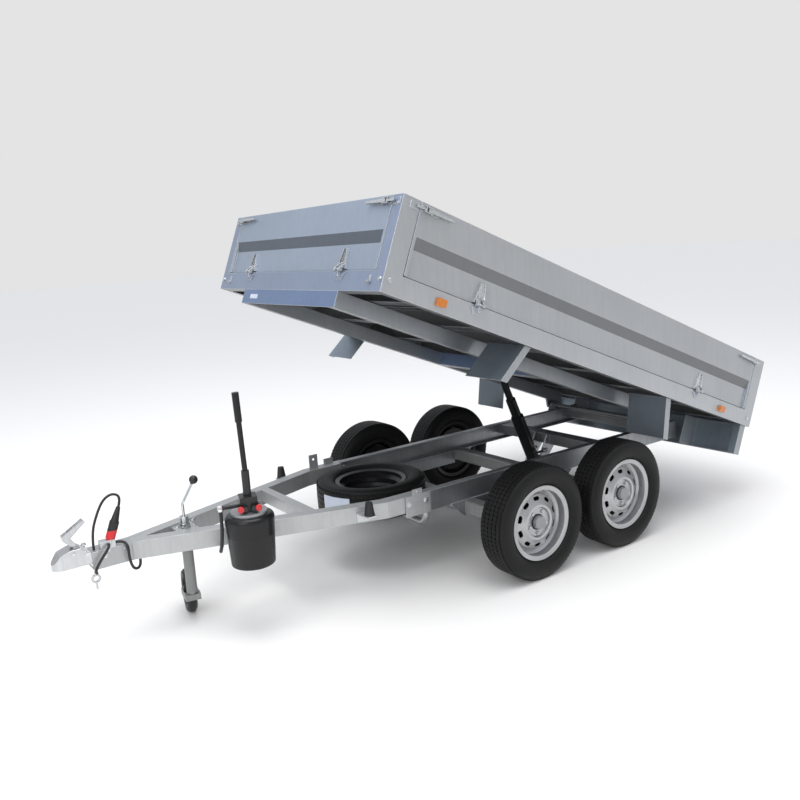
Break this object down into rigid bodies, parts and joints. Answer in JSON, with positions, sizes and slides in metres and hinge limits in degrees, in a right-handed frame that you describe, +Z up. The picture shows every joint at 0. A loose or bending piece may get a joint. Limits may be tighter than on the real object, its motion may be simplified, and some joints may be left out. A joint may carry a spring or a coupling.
{
  "type": "tandem-axle dump trailer",
  "caption": "Tipping trailer with a galvanised drop-side bed raised by a hand-pumped ram, on a tandem axle with a V drawbar.",
  "frame": {"origin": "centre of the footprint on the floor, under the middle of the trailer's length", "axes": "+X to the trailer's left, -Y forward towards the coupling, +Z up"},
  "size_m": [1.564, 3.9212, 1.8215],
  "materials": {
    "galvanised": "hot-dip galvanised, dull grey",
    "galvanised_board": "pre-galvanised sheet, matte grey",
    "galvanised_dark": "galvanised, darker and glossier",
    "zinc_bright": "bright zinc plate",
    "tyre": "black tyre rubber",
    "rubber": "black rubber",
    "silver_paint": "silver wheel paint",
    "black_paint": "semi-gloss black paint",
    "chrome": "polished plate",
    "grey_leg": "dull grey zinc",
    "black_plastic": "black moulding",
    "lamp_red": "red lens",
    "lamp_amber": "amber lens"
  },
  "bodies": {
    "chassis": {"drawbar_beam_left": "galvanised", "drawbar_beam_right": "galvanised", "drawbar_cross_member": "galvanised", "drawbar_nose": "galvanised", "coupling_body": "zinc_bright", "coupling_lever": "zinc_bright", "safety_hook": "zinc_bright", "lead_plug": "black_plastic", "plug_lead": "rubber", "main_rail_left": "galvanised_dark", "main_rail_right": "galvanised_dark", "joint_sleeves": "galvanised", "front_axle": "galvanised_dark", "rear_axle": "galvanised_dark", "spare_tyre": "tyre", "spare_rim": "black_paint", "spare_carrier": "galvanised", "pump_tank": "black_paint", "pump_head": "black_paint", "pump_handle": "black_paint", "hydraulic_hose": "rubber", "ram_member": "galvanised", "pivot_beam": "galvanised", "bed_stops": "rubber", "jockey_clamp": "galvanised"},
    "bed": {"bed_frame": "galvanised", "bed_floor": "galvanised_board", "bed_ribs": "galvanised_dark", "subframe": "galvanised_dark", "mud_flaps": "galvanised", "light_board": "galvanised_board", "rear_lamps": "lamp_red", "marker_lamps": "lamp_amber"},
    "left_side": {"left_board": "galvanised_board", "left_fittings": "zinc_bright"},
    "right_side": {"right_board": "galvanised_board", "right_fittings": "zinc_bright"},
    "front_end": {"front_board": "galvanised_board", "front_fittings": "zinc_bright"},
    "tailgate": {"tail_board": "galvanised_board", "tail_fittings": "zinc_bright"},
    "front_left_wheel": {"front_left_tyre": "tyre", "front_left_rim": "silver_paint"},
    "front_right_wheel": {"front_right_tyre": "tyre", "front_right_rim": "silver_paint"},
    "rear_left_wheel": {"rear_left_tyre": "tyre", "rear_left_rim": "silver_paint"},
    "rear_right_wheel": {"rear_right_tyre": "tyre", "rear_right_rim": "silver_paint"},
    "jockey_post": {"jockey_post": "grey_leg"},
    "jockey_swivel": {"jockey_fork": "grey_leg"},
    "jockey_roller": {"jockey_wheel": "rubber"},
    "ram_barrel": {"ram_barrel": "black_paint"},
    "ram_stage": {"ram_stage": "black_paint"},
    "ram_rod": {"ram_rod": "chrome"}
  },
  "joints": [
    {"name": "bed_tilt", "type": "hinge", "parent": "chassis", "child": "bed", "pos_m": [0, 1.38648, 0.49], "axis": [-1, 0, 0], "range_deg": [-21.57, 18.43]},
    {"name": "left_side_drop", "type": "hinge", "parent": "bed", "child": "left_side", "pos_m": [0.774, 0.54702, 1.02402], "axis": [0, 0.93, -0.3676], "range_deg": [0, 180]},
    {"name": "right_side_drop", "type": "hinge", "parent": "bed", "child": "right_side", "pos_m": [-0.774, 0.54702, 1.02402], "axis": [0, -0.93, 0.3676], "range_deg": [0, 180]},
    {"name": "front_end_drop", "type": "hinge", "parent": "bed", "child": "front_end", "pos_m": [0, -0.75401, 1.53834], "axis": [1, 0, 0], "range_deg": [0, 180]},
    {"name": "tailgate_drop", "type": "hinge", "parent": "bed", "child": "tailgate", "pos_m": [0, 1.84804, 0.50969], "axis": [-1, 0, 0], "range_deg": [0, 180]},
    {"name": "front_left_wheel_spin", "type": "hinge", "parent": "chassis", "child": "front_left_wheel", "pos_m": [0.688, 0.08178, 0.2805], "axis": [1, 0, 0], "continuous": true},
    {"name": "front_right_wheel_spin", "type": "hinge", "parent": "chassis", "child": "front_right_wheel", "pos_m": [-0.688, 0.08178, 0.2805], "axis": [1, 0, 0], "continuous": true},
    {"name": "rear_left_wheel_spin", "type": "hinge", "parent": "chassis", "child": "rear_left_wheel", "pos_m": [0.688, 0.69478, 0.2805], "axis": [1, 0, 0], "continuous": true},
    {"name": "rear_right_wheel_spin", "type": "hinge", "parent": "chassis", "child": "rear_right_wheel", "pos_m": [-0.688, 0.69478, 0.2805], "axis": [1, 0, 0], "continuous": true},
    {"name": "jockey_lift", "type": "slide", "parent": "chassis", "child": "jockey_post", "axis": [0, 0, 1], "range_m": [0, 0.165]},
    {"name": "jockey_turn", "type": "hinge", "parent": "jockey_post", "child": "jockey_swivel", "pos_m": [0, -1.38622, 0.1], "axis": [0, 0, 1], "continuous": true},
    {"name": "jockey_wheel_spin", "type": "hinge", "parent": "jockey_swivel", "child": "jockey_roller", "pos_m": [-0.12667, -1.35698, 0.1], "axis": [-0.225, -0.9744, 0], "continuous": true},
    {"name": "ram_swing", "type": "hinge", "parent": "chassis", "child": "ram_barrel", "pos_m": [0, 0.79578, 0.29], "axis": [1, 0, 0], "range_deg": [-20.05, 23.43]},
    {"name": "ram_stage_slide", "type": "slide", "parent": "ram_barrel", "child": "ram_stage", "axis": [0, -0.3998, 0.9166], "range_m": [-0.11295, 0.09658]},
    {"name": "ram_rod_slide", "type": "slide", "parent": "ram_stage", "child": "ram_rod", "axis": [0, -0.3998, 0.9166], "range_m": [-0.11295, 0.09658]}
  ],
  "couplings": [
    {"joint": "ram_swing", "follows": "bed_tilt", "ratio": -1.077},
    {"joint": "ram_stage_slide", "follows": "bed_tilt", "m_per_rad": 0.2987},
    {"joint": "ram_rod_slide", "follows": "bed_tilt", "m_per_rad": 0.2987}
  ]
}
